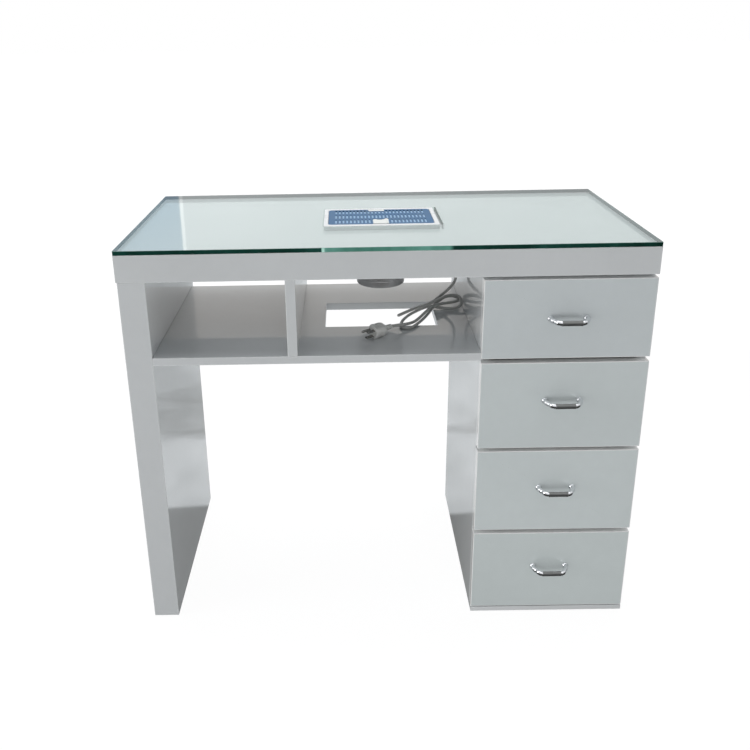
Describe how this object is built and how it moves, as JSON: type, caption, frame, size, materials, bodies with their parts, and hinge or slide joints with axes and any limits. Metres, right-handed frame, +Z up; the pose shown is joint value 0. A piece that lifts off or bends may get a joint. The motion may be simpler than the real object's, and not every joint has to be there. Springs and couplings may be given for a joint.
{
  "type": "manicure table",
  "caption": "White lacquered manicure table with a glass top, a dust vent with a fan, open shelf compartments, a slab leg and a pedestal of drawers with bow handles.",
  "frame": {"origin": "on the floor, at the centre of the footprint with the drawer handles included", "axes": "+Z up, +X to the right seen from the drawer side, +Y away from the drawer side towards the client"},
  "size_m": [0.95, 0.483, 0.772],
  "materials": {
    "lacquered_board": "white high-gloss lacquer on fibreboard",
    "glass": "clear float glass with green polished edges",
    "drawer_board": "white melamine board",
    "drawer_bottom_board": "white faced hardboard",
    "chrome": "polished chrome with a brushed grip",
    "runner_steel": "zinc-plated steel",
    "white_plastic": "moulded white plastic",
    "blue_plastic": "moulded blue plastic",
    "filter_white": "white filter cartridge",
    "tray_plastic": "light grey moulded tray",
    "fan_metal": "dark grey satin paint",
    "motor_steel": "plated steel",
    "black_plastic": "black moulded plastic",
    "cord_pvc": "grey flexible cord jacket",
    "plug_pvc": "grey moulded plug",
    "prong_brass": "plated brass"
  },
  "bodies": {
    "table": {"glass_top": "glass", "top_panel": "lacquered_board", "top_edge_frame": "lacquered_board", "top_underside_panel": "lacquered_board", "left_leg_outer_panel": "lacquered_board", "left_leg_inner_panel": "lacquered_board", "left_leg_core_frame": "lacquered_board", "shelf_board": "lacquered_board", "shelf_divider": "lacquered_board", "pedestal_left_side": "lacquered_board", "pedestal_right_side": "lacquered_board", "pedestal_back_panel": "lacquered_board", "pedestal_bottom_panel": "lacquered_board", "pedestal_top_rail": "lacquered_board", "vent_frame": "white_plastic", "collector_housing": "tray_plastic", "fan_housing": "fan_metal", "fan_motor": "motor_steel", "switch_body": "black_plastic", "power_cord": "cord_pvc", "plug_body": "plug_pvc", "plug_blade_line": "prong_brass", "plug_blade_neutral": "prong_brass", "plug_ground_pin": "prong_brass", "cabinet_runner_1_left": "runner_steel", "cabinet_runner_1_right": "runner_steel", "cabinet_runner_2_left": "runner_steel", "cabinet_runner_2_right": "runner_steel", "cabinet_runner_3_left": "runner_steel", "cabinet_runner_3_right": "runner_steel", "cabinet_runner_4_left": "runner_steel", "cabinet_runner_4_right": "runner_steel"},
    "grille": {"vent_grille": "blue_plastic", "vent_filter": "filter_white"},
    "fan": {"fan_impeller": "black_plastic"},
    "switch": {"switch_rocker": "black_plastic"},
    "drawer_1": {"drawer_1_front": "lacquered_board", "drawer_1_box": "drawer_board", "drawer_1_bottom": "drawer_bottom_board", "drawer_1_handle": "chrome", "drawer_1_runner_left": "runner_steel", "drawer_1_runner_right": "runner_steel"},
    "drawer_2": {"drawer_2_front": "lacquered_board", "drawer_2_box": "drawer_board", "drawer_2_bottom": "drawer_bottom_board", "drawer_2_handle": "chrome", "drawer_2_runner_left": "runner_steel", "drawer_2_runner_right": "runner_steel"},
    "drawer_3": {"drawer_3_front": "lacquered_board", "drawer_3_box": "drawer_board", "drawer_3_bottom": "drawer_bottom_board", "drawer_3_handle": "chrome", "drawer_3_runner_left": "runner_steel", "drawer_3_runner_right": "runner_steel"},
    "drawer_4": {"drawer_4_front": "lacquered_board", "drawer_4_box": "drawer_board", "drawer_4_bottom": "drawer_bottom_board", "drawer_4_handle": "chrome", "drawer_4_runner_left": "runner_steel", "drawer_4_runner_right": "runner_steel"}
  },
  "joints": [
    {"name": "grille_lift", "type": "slide", "parent": "table", "child": "grille", "axis": [0, 0, 1], "range_m": [0, 0.06]},
    {"name": "fan_spin", "type": "hinge", "parent": "table", "child": "fan", "pos_m": [-0.001, 0.02, 0.68], "axis": [0, 0, 1], "continuous": true},
    {"name": "switch_rock", "type": "hinge", "parent": "table", "child": "switch", "pos_m": [-0.001, 0.0685, 0.676], "axis": [0, 0, 1], "range_deg": [0, 12]},
    {"name": "drawer_1_slide", "type": "slide", "parent": "table", "child": "drawer_1", "axis": [0, -1, 0], "range_m": [0, 0.26]},
    {"name": "drawer_2_slide", "type": "slide", "parent": "table", "child": "drawer_2", "axis": [0, -1, 0], "range_m": [0, 0.26]},
    {"name": "drawer_3_slide", "type": "slide", "parent": "table", "child": "drawer_3", "axis": [0, -1, 0], "range_m": [0, 0.26]},
    {"name": "drawer_4_slide", "type": "slide", "parent": "table", "child": "drawer_4", "axis": [0, -1, 0], "range_m": [0, 0.26]}
  ]
}
